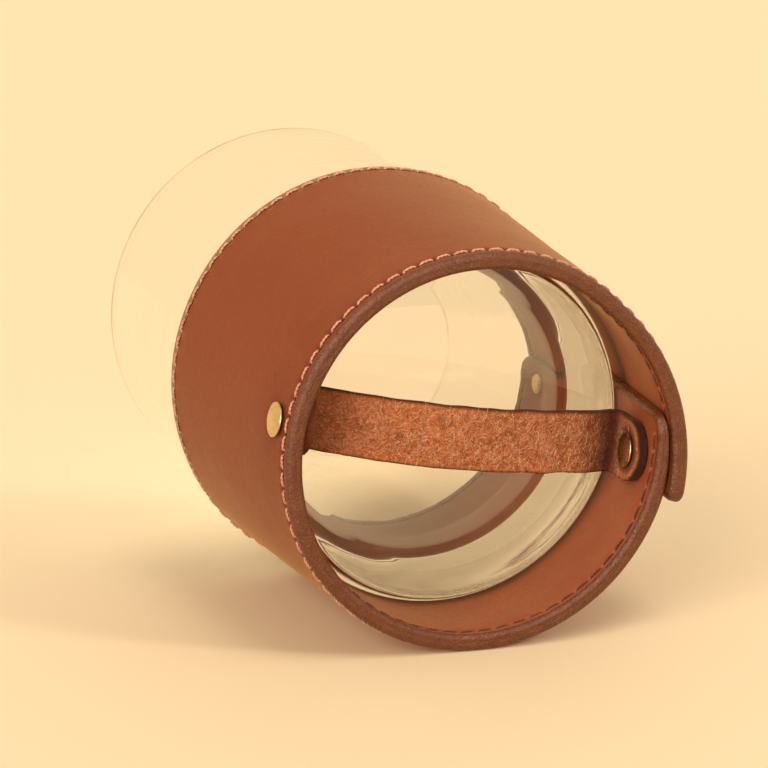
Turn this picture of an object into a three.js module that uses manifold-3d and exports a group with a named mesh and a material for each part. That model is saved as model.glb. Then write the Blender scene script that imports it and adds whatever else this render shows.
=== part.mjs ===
// A glass tumbler in a stitched two-layer leather sleeve, with a riveted strap under the glass.
// Millimetres. +Z runs up from the table to the rim, -Y is the front, and the wall laps at the back.
import * as THREE from "three";
import { mergeVertices } from "three/addons/utils/BufferGeometryUtils.js";
import Module from "manifold-3d";

const wasm = await Module();
wasm.setup();

const degree = Math.PI / 180;
const turn = 2 * Math.PI;

// Glass tumbler
const glassHeight = 123;
const glassBaseRadius = 43.4; // outside, just above the rounded heel
const glassRimRadius = 46; // outside, at the lip
const glassWall = 2.8; // at the foot of the wall
const glassLip = 1.8; // thickness of the rounded lip
const glassFloor = 18.4; // thickness in the middle of the heavy base
const bowlRadius = 118; // the floor is a shallow bowl of this radius
const bowlEdge = 33.5; // radius at which the bowl turns up into the inner heel
const heelRadius = 4;
const innerHeelRadius = 8;
const innerHeelSlope = 70 * degree; // the inner heel's arc ends this steep
const wallEase = 7.3; // height over which it then eases into the wall
const puntDepth = 2; // the underside is drawn in, so that the tumbler stands on a ring
const puntRadius = 34;
const glassSegments = 60;
const glassSteps = 3; // points along each of the section's curves, twice as many on its arcs

// Leather sleeve, a wall of two layers glued and stitched together
const sleeveHeight = 82;
const recess = 26.5; // from the sleeve's lower edge up to the glass's base
const outerThickness = 2.3;
const liningThickness = 1.8;
const glueLine = 0.1;
const fitGap = 0.3; // glass to lining at the heel, and strap to lining
const topGap = 1.3; // glass to lining at the sleeve's top edge
const edgeBevel = 0.6;
const frontAngle = -90 * degree;
const rearAngle = 86.5 * degree; // the strap's rear rivet, which also holds the lap
const stationStep = 4.8 * degree;

// The lap at the back, where the wall's outer end, the flap, covers its inner end
const rivetToInnerEnd = 12;
const rivetToFlapTip = 8;
const skivedThickness = 0.6; // the outer layer is pared down to this at the inner end
const lapGap = 0.3;
const tipLift = 0.6;
const flapRise = 28; // length along the wall over which the flap climbs to the lap
const innerCornerRadius = 5;
const flapCornerRadius = 2.5;

// Stitching, one row along each edge
const stitchMargin = 3.2;
const threadDiameter = 0.65;
const threadClearance = 0.15;
const threadSides = 4;
const stitchEndMargin = 5;

// Strap
const strapWidth = 14.6;
const strapThickness = 2.3;
const strapBow = 10.8; // how far the middle hangs below the straight line between its bends
const strapToGlassFront = 8;
const strapToGlassRear = 3;
const bendReach = 4.5;
const bowSteps = 18;
const bendSteps = 4;
const acrossPoints = 5;
const roundSteps = 5;

// Rivets, each a capped post through the leather and a cap on its end
const frontRivetHeight = 9.5;
const rearRivetHeight = 12.5;
const seamRivetDrop = 10.5; // the upper rivet of the lap, below the sleeve's top edge
const seamAngle = 80.7 * degree;
const seamHeadRadius = 3.2; // its head inside the sleeve is a smaller one
const capRadius = 4.05;
const capHeight = 1.5;
const capRim = 0.5;
const postRadius = 1.4;
const postClearance = 0.15;
const capCrown = 0.55; // metal left over the end of the post
const holeClearance = 0.3;
const seatGap = 0.1;
const headSink = 1; // the upper rivet's head lies this deep in the lining, clear of the glass
const rivetSegments = 20;
const domeSteps = 4;

// Cuts start this far outside the surface that they open
const overrun = 0.1;

// Where things stand
const heelTop = recess + heelRadius;
const rimHeight = recess + glassHeight;
const glassFlare = (glassRimRadius - glassBaseRadius) / (rimHeight - heelTop);
const heelFace = glassBaseRadius + fitGap;
const topFace = glassBaseRadius + glassFlare * (sleeveHeight - heelTop) + topGap;
const sleeveFlare = (topFace - heelFace) / (sleeveHeight - heelTop);
const coneAngle = Math.atan(sleeveFlare);
const wallRadius = liningFace(0) + liningThickness + glueLine;
const innerEnd = rearAngle - rivetToInnerEnd / wallRadius;
const flapTip = rearAngle + turn + rivetToFlapTip / wallRadius;
const lapStart = innerEnd + turn;
const lapSpan = flapTip - lapStart;
const riseSpan = flapRise / wallRadius;
const stepAtInnerEnd = liningThickness + glueLine + skivedThickness + lapGap;
const stepAtTip = liningThickness + glueLine + outerThickness + lapGap + tipLift;
const risePower = ((stepAtTip - stepAtInnerEnd) / lapSpan) * (riseSpan / stepAtInnerEnd);
const grooveWidth = threadDiameter + 2 * threadClearance;
const grooveDepth = threadDiameter + 2 * threadClearance;

// The lining's inner face widens steadily upwards.
function liningFace(z) {
  return heelFace + sleeveFlare * (z - heelTop);
}

// The flap climbs outwards until it clears the inner end, and goes on climbing over it.
function wallRise(angle) {
  if (angle >= lapStart) {
    return THREE.MathUtils.lerp(stepAtInnerEnd, stepAtTip, (angle - lapStart) / lapSpan);
  }
  const along = (angle - lapStart + riseSpan) / riseSpan;
  return along > 0 ? stepAtInnerEnd * along ** risePower : 0;
}

// The outer layer is pared thinner towards the inner end, as far as the flap covers it.
function outerLayer(angle) {
  const along = Math.min((angle - innerEnd) / lapSpan, 1);
  return THREE.MathUtils.lerp(skivedThickness, outerThickness, along);
}

// A point of the wall: offset is measured outwards from the lining's inner face.
function wallPoint(angle, offset, z) {
  const r = liningFace(z) + wallRise(angle) + offset;
  return new THREE.Vector3(r * Math.cos(angle), r * Math.sin(angle), z);
}

function steps(from, to, step) {
  const count = Math.ceil((to - from) / step);
  return Array.from({ length: count }, (_, i) => from + ((to - from) * i) / count);
}

function wallStations(from, to) {
  const marks = [innerEnd + lapSpan, lapStart - riseSpan, lapStart];
  const ends = [from, ...marks.filter((m) => m > from && m < to), to];
  const spans = ends.slice(1).map((end, i) => steps(ends[i], end, stationStep));
  return [...spans.flat(), to];
}

// A closed surface through rings of points, shut at both ends by the first ring's outline.
function loft(rings, outline) {
  const size = outline.length;
  const index = [];
  const last = (rings.length - 1) * size;
  for (let ring = 0; ring < rings.length - 1; ring++) {
    for (let k = 0; k < size; k++) {
      const a = ring * size + k;
      const b = ring * size + ((k + 1) % size);
      index.push(a, b + size, b, a, a + size, b + size);
    }
  }
  for (const [a, b, c] of THREE.ShapeUtils.triangulateShape(outline, [])) {
    index.push(a, b, c);
    index.push(last + a, last + c, last + b);
  }
  const geometry = new THREE.BufferGeometry().setFromPoints(rings.flat());
  geometry.setIndex(index);
  return geometry;
}

function solid(geometry) {
  const bare = geometry.clone();
  bare.deleteAttribute("normal");
  bare.deleteAttribute("uv");
  const merged = mergeVertices(bare);
  return new wasm.Manifold(
    new wasm.Mesh({
      numProp: 3,
      vertProperties: merged.attributes.position.array,
      triVerts: new Uint32Array(merged.index.array),
    }),
  );
}

function cut(geometry, cutters) {
  const left = cutters.reduce((rest, cutter) => rest.subtract(solid(cutter)), solid(geometry));
  const { vertProperties, triVerts } = left.getMesh();
  const result = new THREE.BufferGeometry();
  result.setAttribute("position", new THREE.BufferAttribute(vertProperties, 3));
  result.setIndex(new THREE.BufferAttribute(triVerts, 1));
  result.computeVertexNormals();
  return result;
}

function material(color, roughness, metalness) {
  return new THREE.MeshStandardMaterial({ color, roughness, metalness });
}

const glassMaterial = material("#dfe6dd", 0.05, 0);
glassMaterial.transparent = true;
glassMaterial.opacity = 0.35;
const outerMaterial = material("#9c4f2e", 0.5, 0);
const liningMaterial = material("#8f4527", 0.65, 0);
const strapMaterial = material("#84451f", 0.9, 0);
const threadMaterial = material("#c98a68", 0.8, 0);
const brassMaterial = material("#b8913f", 0.3, 1);

function piece(name, geometry, material) {
  const mesh = new THREE.Mesh(geometry, material);
  mesh.name = name;
  return mesh;
}

const innerFoot = glassBaseRadius - glassWall;
const innerFlare = (glassRimRadius - glassLip - innerFoot) / (glassHeight - heelRadius);

function innerWall(y) {
  return innerFoot + innerFlare * (y - heelRadius);
}

// The tumbler's section, from the middle of its underside round the lip to the middle of its floor.
function glassSection() {
  const section = new THREE.Path();
  const lip = glassLip / 2;
  const quarter = 90 * degree;
  const bowlSlope = Math.asin(bowlEdge / bowlRadius);
  const heelX = bowlEdge - innerHeelRadius * Math.sin(bowlSlope);
  const bowlTop = glassFloor + bowlRadius * (1 - Math.cos(bowlSlope));
  const heelY = bowlTop + innerHeelRadius * Math.cos(bowlSlope);
  const endX = heelX + innerHeelRadius * Math.sin(innerHeelSlope);
  const endY = heelY - innerHeelRadius * Math.cos(innerHeelSlope);
  const closing = Math.cos(innerHeelSlope) - innerFlare * Math.sin(innerHeelSlope);
  const along = (innerWall(endY) - endX) / closing;
  const meetX = endX + along * Math.cos(innerHeelSlope);
  const meetY = endY + along * Math.sin(innerHeelSlope);
  section.moveTo(0, puntDepth);
  section.quadraticCurveTo(puntRadius / 2, puntDepth, puntRadius, 0);
  section.lineTo(glassBaseRadius - heelRadius, 0);
  section.absarc(glassBaseRadius - heelRadius, heelRadius, heelRadius, -90 * degree, 0, false);
  section.lineTo(glassRimRadius, glassHeight - lip);
  section.absarc(glassRimRadius - lip, glassHeight - lip, lip, 0, 180 * degree, false);
  section.lineTo(innerWall(meetY + wallEase), meetY + wallEase);
  section.quadraticCurveTo(meetX, meetY, endX, endY);
  section.absarc(
    heelX, heelY, innerHeelRadius, innerHeelSlope - quarter, bowlSlope - quarter, true,
  );
  section.absarc(0, glassFloor + bowlRadius, bowlRadius, bowlSlope - quarter, -quarter, true);
  return section.getPoints(glassSteps);
}

// A turned solid stands along Y in its own frame.
function turned(points, segments) {
  return new THREE.LatheGeometry(points, segments);
}

function tumbler() {
  const mesh = piece("glass_tumbler", turned(glassSection(), glassSegments), glassMaterial);
  mesh.rotation.x = 90 * degree;
  mesh.position.z = recess;
  return mesh;
}

// A stitch groove across one face, as offset and height, going up
function groove(face, depth, z) {
  const low = z - grooveWidth / 2;
  const high = z + grooveWidth / 2;
  return [
    [face, low],
    [face + depth, low],
    [face + depth, high],
    [face, high],
  ];
}

const stitchRows = { bottom: stitchMargin, top: sleeveHeight - stitchMargin };

function outerSection(angle) {
  const inside = liningThickness + glueLine;
  const thickness = outerLayer(angle);
  const face = inside + thickness;
  const share = thickness / outerThickness;
  const bevel = edgeBevel * share;
  return [
    [inside, 0],
    [face - bevel, 0],
    [face, bevel],
    ...groove(face, -grooveDepth * share, stitchRows.bottom),
    ...groove(face, -grooveDepth * share, stitchRows.top),
    [face, sleeveHeight - bevel],
    [face - bevel, sleeveHeight],
    [inside, sleeveHeight],
  ];
}

function liningSection() {
  return [
    [liningThickness, sleeveHeight],
    [edgeBevel, sleeveHeight],
    [0, sleeveHeight - edgeBevel],
    ...groove(0, grooveDepth, stitchRows.top).reverse(),
    ...groove(0, grooveDepth, stitchRows.bottom).reverse(),
    [0, edgeBevel],
    [edgeBevel, 0],
    [liningThickness, 0],
  ];
}

function sweep(section, stations) {
  const rings = stations.map((angle) =>
    section(angle).map(([offset, z]) => wallPoint(angle, offset, z)),
  );
  const outline = section(stations[0]).map(([offset, z]) => new THREE.Vector2(offset, z));
  return loft(rings, outline);
}

// What a rounded corner takes away: its places run from the wall's end inwards, each with the
// height that it reaches from the edge.
function cornerCut(end, inwards, radius, upper) {
  const places = [{ angle: end - (inwards * overrun) / wallRadius, reach: radius }];
  for (let i = 0; i <= roundSteps; i++) {
    const share = i / roundSteps;
    const angle = end + (inwards * radius * share) / wallRadius;
    places.push({ angle, reach: radius * (1 - Math.sqrt(1 - (1 - share) ** 2)) });
  }
  places.sort((a, b) => a.angle - b.angle);
  const reaches = new Map(places.map(({ angle, reach }) => [angle, reach]));
  const section = (angle) => {
    const inside = -overrun;
    const outside = liningThickness + glueLine + outerLayer(angle) + overrun;
    const reach = reaches.get(angle);
    const low = upper ? sleeveHeight - reach : -overrun;
    const high = upper ? sleeveHeight + overrun : reach;
    return [
      [inside, low],
      [outside, low],
      [outside, high],
      [inside, high],
    ];
  };
  return sweep(section, [...reaches.keys()]);
}

function cornerCuts() {
  return [false, true].flatMap((upper) => [
    cornerCut(innerEnd, 1, innerCornerRadius, upper),
    cornerCut(flapTip, -1, flapCornerRadius, upper),
  ]);
}

function threadRow(name, z, from, offsetAt) {
  const to = flapTip - stitchEndMargin / wallRadius;
  const stations = wallStations(from, to);
  const path = new THREE.CatmullRomCurve3(
    stations.map((angle) => wallPoint(angle, offsetAt(angle), z)),
  );
  const section = new THREE.Shape();
  section.absarc(0, 0, threadDiameter / 2, 0, turn, false);
  const round = new THREE.Shape(section.getSpacedPoints(threadSides).slice(0, threadSides));
  const geometry = new THREE.ExtrudeGeometry(round, {
    steps: stations.length,
    extrudePath: path,
    bevelEnabled: false,
  });
  return piece(name, geometry, threadMaterial);
}

// The outer thread starts where the flap leaves the wall free, the inner one near the wall's end.
function threads() {
  const outerStart = innerEnd + lapSpan + stitchEndMargin / wallRadius;
  const innerStart = innerEnd + stitchEndMargin / wallRadius;
  const outerDepth = (angle) => liningThickness + glueLine + outerLayer(angle) - grooveDepth / 2;
  return Object.entries(stitchRows).flatMap(([edge, z]) => [
    threadRow(edge + "_stitch_thread", z, outerStart, outerDepth),
    threadRow(edge + "_bobbin_thread", z, innerStart, () => grooveDepth / 2),
  ]);
}

// The strap, drawn along its middle: reach is measured from the cup's axis, negative at the front.
const strapFace = (z) => liningFace(z) - fitGap - strapThickness / 2;
const frontBend = recess - strapToGlassFront - strapThickness / 2;
const rearBend = recess - strapToGlassRear - strapThickness / 2;
const frontReach = strapFace(frontBend);
const rearReach = strapFace(rearBend);

function bowHeight(reach) {
  const along = (reach + frontReach) / (frontReach + rearReach);
  const straight = THREE.MathUtils.lerp(frontBend, rearBend, along);
  return straight - strapBow * Math.sin(Math.PI * along);
}

// The rounded end of a leg, from its tip to its full width, then the leg up to the bend
function legPlaces(side, rivetHeight, bend) {
  const half = strapWidth / 2;
  const tip = Array.from({ length: roundSteps }, (_, i) => {
    const a = ((i + 1) / (roundSteps + 1)) * 90 * degree;
    return { z: rivetHeight - half * Math.cos(a), half: half * Math.sin(a) };
  });
  const rest = [rivetHeight, bend - bendReach].map((z) => ({ z, half }));
  return [...tip, ...rest].map(({ z, half }) => ({ reach: side * strapFace(z), z, half, hug: 1 }));
}

function bendPlaces(side, bend) {
  const edge = side * strapFace(bend);
  const inner = edge - side * bendReach;
  const curve = new THREE.QuadraticBezierCurve(
    new THREE.Vector2(side * strapFace(bend - bendReach), bend - bendReach),
    new THREE.Vector2(edge, bend),
    new THREE.Vector2(inner, bowHeight(inner)),
  );
  return Array.from({ length: bendSteps - 1 }, (_, i) => {
    const share = (i + 1) / bendSteps;
    const at = curve.getPoint(share);
    return { reach: at.x, z: at.y, half: strapWidth / 2, hug: 1 - share };
  });
}

function strapPlaces() {
  const from = -frontReach + bendReach;
  const to = rearReach - bendReach;
  const bow = Array.from({ length: bowSteps + 1 }, (_, i) => {
    const reach = THREE.MathUtils.lerp(from, to, i / bowSteps);
    return { reach, z: bowHeight(reach), half: strapWidth / 2, hug: 0 };
  });
  return [
    ...legPlaces(-1, frontRivetHeight, frontBend),
    ...bendPlaces(-1, frontBend),
    ...bow,
    ...bendPlaces(1, rearBend).reverse(),
    ...legPlaces(1, rearRivetHeight, rearBend).reverse(),
  ];
}

// The strap runs straight from the front rivet to the rear one, which isn't quite opposite.
function strapPoint(reach, z, across) {
  const share = (reach + frontReach) / (frontReach + rearReach);
  const ends = [frontAngle, rearAngle].map((a) => new THREE.Vector2(Math.cos(a), Math.sin(a)));
  const middle = ends[0].clone().multiplyScalar(frontReach * (1 - share));
  middle.addScaledVector(ends[1], rearReach * share);
  const sideways = new THREE.Vector2(
    THREE.MathUtils.lerp(-ends[0].y, ends[1].y, share),
    THREE.MathUtils.lerp(ends[0].x, -ends[1].x, share),
  ).normalize();
  middle.addScaledVector(sideways, across);
  return new THREE.Vector3(middle.x, middle.y, z);
}

function strapRing(places, i) {
  const { reach, z, half, hug } = places[i];
  const before = places[Math.max(i - 1, 0)];
  const after = places[Math.min(i + 1, places.length - 1)];
  const along = new THREE.Vector2(after.reach - before.reach, after.z - before.z).normalize();
  const shares = Array.from({ length: acrossPoints }, (_, k) => (2 * k) / (acrossPoints - 1) - 1);
  const row = (side) =>
    shares.map((share) => {
      const across = share * half;
      const sag = (Math.sign(reach) * hug * across ** 2) / (2 * liningFace(z));
      const lift = (side * strapThickness) / 2;
      return strapPoint(reach - along.y * lift - sag, z + along.x * lift, across);
    });
  return [...row(-1), ...row(1).reverse()];
}

// The strap's rings are convex, so their end faces are laid out on a circle.
function strapOutline() {
  const count = 2 * acrossPoints;
  return Array.from({ length: count }, (_, k) => {
    const a = (turn * k) / count;
    return new THREE.Vector2(Math.cos(a), Math.sin(a));
  });
}

// A rivet's frame: X runs outwards along the post, square to the flaring wall.
function rivetFrame(angle, z) {
  const swing = new THREE.Group();
  const tilt = new THREE.Group();
  swing.rotation.z = angle;
  tilt.position.set(liningFace(z), 0, z);
  tilt.rotation.y = coneAngle;
  swing.add(tilt);
  return { swing, tilt };
}

// The furthest that a face of the wall reaches along the post anywhere under a cap
function seat(angle, offset, side) {
  const spread = capRadius / wallRadius;
  const places = [-spread, -spread / 2, 0, spread / 2, spread];
  const reaches = places.map((d) => {
    const r = liningFace(0) + wallRise(angle + d) + offset;
    return side * (r * Math.cos(d) - liningFace(0));
  });
  return side * Math.max(...reaches);
}

// A dome's outline from its rim to its top, as radius and height above the cap's underside
function dome(radius, steps) {
  return Array.from({ length: steps + 1 }, (_, i) => {
    const a = (i / steps) * 90 * degree;
    const r = radius * Math.cos(a);
    return new THREE.Vector2(i === steps ? 0 : r, capRim + (capHeight - capRim) * Math.sin(a));
  });
}

function rivet({ name, angle, z, headRadius, inside, outside }) {
  const { swing, tilt } = rivetFrame(angle, z);
  const bore = postRadius + postClearance;
  const boreDepth = capHeight - capCrown;
  const postEnd = outside + boreDepth - postClearance;
  const head = dome(headRadius, domeSteps)
    .reverse()
    .map((p) => new THREE.Vector2(p.x, inside - p.y));
  const post = [
    ...head,
    new THREE.Vector2(headRadius, inside),
    new THREE.Vector2(postRadius, inside),
    new THREE.Vector2(postRadius, postEnd),
    new THREE.Vector2(0, postEnd),
  ];
  const cap = [
    new THREE.Vector2(0, outside + boreDepth),
    new THREE.Vector2(bore, outside + boreDepth),
    new THREE.Vector2(bore, outside),
    new THREE.Vector2(capRadius, outside),
    ...dome(capRadius, domeSteps).map((p) => new THREE.Vector2(p.x, outside + p.y)),
  ];
  const meshes = [
    piece(name + "_post", turned(post, rivetSegments), brassMaterial),
    piece(name + "_cap", turned(cap, rivetSegments), brassMaterial),
  ];
  meshes.forEach((mesh) => {
    mesh.rotation.z = -90 * degree;
    tilt.add(mesh);
  });
  return swing;
}

// A round cutter along a rivet's axis, from one distance to another
function drill(angle, z, radius, from, to) {
  const { swing, tilt } = rivetFrame(angle, z);
  const bit = new THREE.Mesh(new THREE.CylinderGeometry(radius, radius, to - from, rivetSegments));
  bit.rotation.z = -90 * degree;
  bit.position.x = (from + to) / 2;
  tilt.add(bit);
  swing.updateMatrixWorld(true);
  return bit.geometry.clone().applyMatrix4(bit.matrixWorld);
}

const plainWall = liningThickness + glueLine + outerThickness;
const strapInside = -fitGap - strapThickness;
const rivets = [
  {
    name: "front_rivet",
    angle: frontAngle,
    z: frontRivetHeight,
    headRadius: capRadius,
    inside: seat(frontAngle, strapInside, -1) - seatGap,
    outside: seat(frontAngle, plainWall, 1) + seatGap,
  },
  {
    name: "rear_rivet",
    angle: rearAngle,
    z: rearRivetHeight,
    headRadius: capRadius,
    inside: seat(rearAngle, strapInside, -1) - seatGap,
    outside: seat(rearAngle + turn, plainWall, 1) + seatGap,
  },
  {
    name: "seam_rivet",
    angle: seamAngle,
    z: sleeveHeight - seamRivetDrop,
    headRadius: seamHeadRadius,
    inside: headSink - seatGap,
    outside: seat(seamAngle + turn, plainWall, 1) + seatGap,
  },
];
const holes = rivets.map(({ angle, z, inside, outside }) =>
  drill(angle, z, postRadius + holeClearance, inside - capHeight, outside + capHeight),
);
const pocket = drill(
  seamAngle,
  sleeveHeight - seamRivetDrop,
  seamHeadRadius + postClearance,
  -capHeight,
  headSink,
);

function sleeve() {
  const stations = wallStations(innerEnd, flapTip);
  const cuts = [...holes, pocket, ...cornerCuts()];
  return [
    piece("sleeve_outer", cut(sweep(outerSection, stations), cuts), outerMaterial),
    piece("sleeve_lining", cut(sweep(liningSection, stations), cuts), liningMaterial),
  ];
}

function strap() {
  const places = strapPlaces();
  const rings = places.map((_, i) => strapRing(places, i));
  const geometry = cut(loft(rings, strapOutline()), holes.slice(0, 2));
  return piece("base_strap", geometry, strapMaterial);
}

const cup = new THREE.Group();
cup.add(tumbler());
cup.add(...sleeve());
cup.add(...threads());
cup.add(strap());
rivets.forEach((each) => cup.add(rivet(each)));

// The part's origin is the middle of its footprint on the table.
const box = new THREE.Box3().setFromObject(cup, true);
const middle = box.getCenter(new THREE.Vector3());
cup.position.set(-middle.x, -middle.y, -box.min.z);

const group = new THREE.Group();
group.add(cup);

export default group;
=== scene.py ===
import math

import bmesh
import bpy
import numpy as np
from mathutils import Matrix, Vector


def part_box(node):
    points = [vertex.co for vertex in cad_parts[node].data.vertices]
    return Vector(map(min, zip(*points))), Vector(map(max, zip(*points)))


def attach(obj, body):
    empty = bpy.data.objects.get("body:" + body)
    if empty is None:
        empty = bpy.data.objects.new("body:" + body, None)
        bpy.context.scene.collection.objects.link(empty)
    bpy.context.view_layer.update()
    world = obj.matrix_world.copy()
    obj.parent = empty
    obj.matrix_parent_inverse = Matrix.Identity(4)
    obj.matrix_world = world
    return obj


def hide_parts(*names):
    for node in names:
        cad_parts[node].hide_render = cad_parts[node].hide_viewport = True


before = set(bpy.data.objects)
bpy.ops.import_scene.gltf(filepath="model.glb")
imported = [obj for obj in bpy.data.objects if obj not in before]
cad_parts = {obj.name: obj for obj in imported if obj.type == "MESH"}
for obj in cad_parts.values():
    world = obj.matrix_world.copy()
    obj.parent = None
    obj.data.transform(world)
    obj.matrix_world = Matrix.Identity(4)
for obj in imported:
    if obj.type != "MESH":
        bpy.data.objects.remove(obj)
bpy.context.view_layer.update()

degree = math.pi / 180
turn = 2 * math.pi

# Read from the frame
glass_low, glass_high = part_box("glass_tumbler")
axis = Vector(((glass_low.x + glass_high.x) / 2, (glass_low.y + glass_high.y) / 2, 0))
glass_rim_radius = (glass_high.x - glass_low.x) / 2
recess = glass_low.z
rim_height = glass_high.z
sleeve_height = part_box("sleeve_outer")[1].z

# Glass tumbler
glass_base_radius = 0.0434
glass_wall = 0.0028
glass_lip = 0.0018
glass_floor = 0.0184
bowl_radius = 0.118
bowl_edge = 0.0335
heel_radius = 0.004
inner_heel_radius = 0.008
inner_heel_slope = 70 * degree
wall_ease = 0.0073
punt_depth = 0.002
punt_radius = 0.034
glass_segments = 320
arc_step = 0.0008
arc_least_steps = 8
wall_step = 0.0018
wave_depth = 0.00002
wave_stretch = 0.12
wave_slant = 0.4
wave_fade = 0.02
# Width of the painted dark reflection on the lip
lip_line = 0.00022
# Height under which the heel's painted refraction streaks lie
heel_streaks = 0.022

# Leather sleeve, a wall of two layers
outer_thickness = 0.0023
lining_thickness = 0.0018
glue_line = 0.0001
fit_gap = 0.0003
top_gap = 0.0013
front_angle = -90 * degree
rear_angle = 86.5 * degree
rivet_to_inner_end = 0.012
rivet_to_flap_tip = 0.008
skived_thickness = 0.0006
lap_gap = 0.0003
tip_lift = 0.0006
flap_rise = 0.028
inner_corner_radius = 0.005
flap_corner_radius = 0.0025
edge_round = 0.0016
edge_share = 0.8
edge_points = 7
cut_shares = np.array((0.3, 0.6, 0.9, 0.98))
plain_rows = 5
column_step = 0.00026
swell_depth = 0.00009
swell_fade = 0.002
ragged_depth = 0.00003

# Edge paint, which reaches further over the upper edge and is painted lighter there as a painted
# reflection, and the painted shade on the lining beside the glass's base
near_paint_reach = 0.0011
far_paint_reach = 0.0026
far_band_start = sleeve_height - 0.012
far_band_end = sleeve_height - 0.005
by_glass_start = recess - 0.0025
by_glass_end = recess + 0.012

# Stitching
stitch_margin = 0.0032
stitch_length = 0.0042
stitch_end_margin = 0.005
stitch_band = 0.001
stitch_top = 0.00002
bobbin_top = -0.0002
stitch_dip = 0.0013
stitch_dip_power = 4
stitch_arch = 0.00012
stitch_slant = 0.00025
sunk_start = 0.66
sunk_width = 0.16
strand_radius = 0.00018
strand_orbit = 0.00015
strand_pitch = 0.0018
strands = 2
strand_sides = 6
strand_rings = 21
hole_radius = 0.0006
hole_depth = 0.0009
# Painted shade in the stitch holes: its strength, how fast it fades, and its strength on the
# lining
hole_dark = 1.6
hole_fade = 1.3
inner_hole_dark = 0.15
groove_width = 0.0006
groove_depth = 0.00026

# The wall's rows from an edge to its middle: where each run ends, and its step
wall_rows = (
    (stitch_margin - stitch_band, 0.0004),
    (stitch_margin + stitch_band, 0.00025),
    (0.02, 0.0016),
    (sleeve_height / 2, 0.007),
)

# Strap
strap_width = 0.0146
strap_thickness = 0.0023
strap_bow = 0.0108
strap_to_glass_front = 0.008
strap_to_glass_rear = 0.003
bend_reach = 0.0045
strap_round = 0.00055
strap_edge_points = 6
strap_step = 0.0005
strap_tip_step = 0.0004
strap_row_step = 0.0006
leg_steps = 40
bend_steps = 24
bow_steps = 120
lump_height = 0.00007
wobble_depth = 0.00012
wobble_power = 6
strap_press = 0.0003
strap_press_soft = 0.001
# Painted shadow round the rivet's cap on the strap: its strength, where it starts beyond the rim,
# and how soft it is
cap_shadow = 0.75
cap_shadow_start = 0.0006
cap_shadow_soft = 0.0011

# The strap's painted shade, darkening its colour: near the front, at the rear bend, and over the
# front tip
front_shade = 0.2
front_shade_place = 0.031
front_shade_width = 0.007
bend_shade = 0.9
bend_shade_place = 0.0175
bend_shade_width = 0.0062
tip_shade = 0.8
tip_fade = 0.002
most_shade = 0.9

# The strap's loose fibres
nap_count = 5600
nap_tries = nap_count * 3
nap_radius = 0.00007
nap_taper = 0.6
nap_rings = 4
nap_sides = 3
nap_edge_gap = 0.0008
nap_rivet_gap = 0.0016
nap_room = 1.2
nap_longest = 0.0024
nap_least = 0.4
nap_bend = 0.7
nap_rise = 0.00012
nap_scatter = 0.0003
nap_dark_share = 0.3
nap_tones = (0.15, 0.9)
nap_seed = 31

# Rivets
front_rivet_height = 0.0095
rear_rivet_height = 0.0125
seam_rivet_drop = 0.0105
seam_angle = 80.7 * degree
seam_head_radius = 0.0032
cap_radius = 0.00405
cap_rim_share = 0.42
cap_dome_power = 2.3
cap_roll_steps = 19
cap_dome_steps = 22
rivet_segments = 72
# Where the brass is darker towards the foot of its rim, where it sits on the leather
rim_foot_dark_start = 0.93
rim_foot_dark_width = 0.07
rim_foot_dark_height = 0.0007
dent_depth = 0.00022
dent_soft = 0.0012
pocket_depth = 0.00115
pocket_soft = 0.0004
press_dark = 0.75
press_width = 0.0085

# Random surfaces: the seed, how many waves, and the longest and shortest of them
glass_waves = (5, 60, 0.03, 0.005)
leather_swell = (11, 24, 0.06, 0.014)
ragged_cut = (16, 40, 0.005, 0.0014)
suede_lumps = (23, 50, 0.009, 0.0011)
edge_wobble = (24, 20, 0.02, 0.003)

heel_top = recess + heel_radius
glass_flare = (glass_rim_radius - glass_base_radius) / (rim_height - heel_top)
heel_face = glass_base_radius + fit_gap
top_face = glass_base_radius + glass_flare * (sleeve_height - heel_top) + top_gap
sleeve_flare = (top_face - heel_face) / (sleeve_height - heel_top)
cone_angle = math.atan(sleeve_flare)


def lining_face(z):
    return heel_face + sleeve_flare * (z - heel_top)


wall_radius = lining_face(0) + lining_thickness + glue_line
inner_end = rear_angle - rivet_to_inner_end / wall_radius
flap_tip = rear_angle + turn + rivet_to_flap_tip / wall_radius
lap_start = inner_end + turn
lap_span = flap_tip - lap_start
rise_span = flap_rise / wall_radius
step_at_inner_end = lining_thickness + glue_line + skived_thickness + lap_gap
step_at_tip = lining_thickness + glue_line + outer_thickness + lap_gap + tip_lift
rise_power = (step_at_tip - step_at_inner_end) / lap_span * rise_span / step_at_inner_end
stitch_heights = {"bottom": stitch_margin, "top": sleeve_height - stitch_margin}


def wall_rise(angle):
    over = (angle - lap_start) / lap_span
    climbing = np.clip((angle - lap_start + rise_span) / rise_span, 0, None)
    lap = step_at_inner_end + (step_at_tip - step_at_inner_end) * over
    return np.where(angle >= lap_start, lap, step_at_inner_end * climbing**rise_power)


def outer_layer(angle):
    along = np.clip((angle - inner_end) / lap_span, 0, 1)
    return skived_thickness + (outer_thickness - skived_thickness) * along


def outer_face(angle):
    return lining_thickness + glue_line + outer_layer(angle)


def inner_face(angle):
    return 0 * angle


def wall_points(angle, offset, z):
    r = lining_face(z) + wall_rise(angle) + offset
    return np.stack([axis.x + r * np.cos(angle), axis.y + r * np.sin(angle), z + 0 * r], -1)


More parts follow.
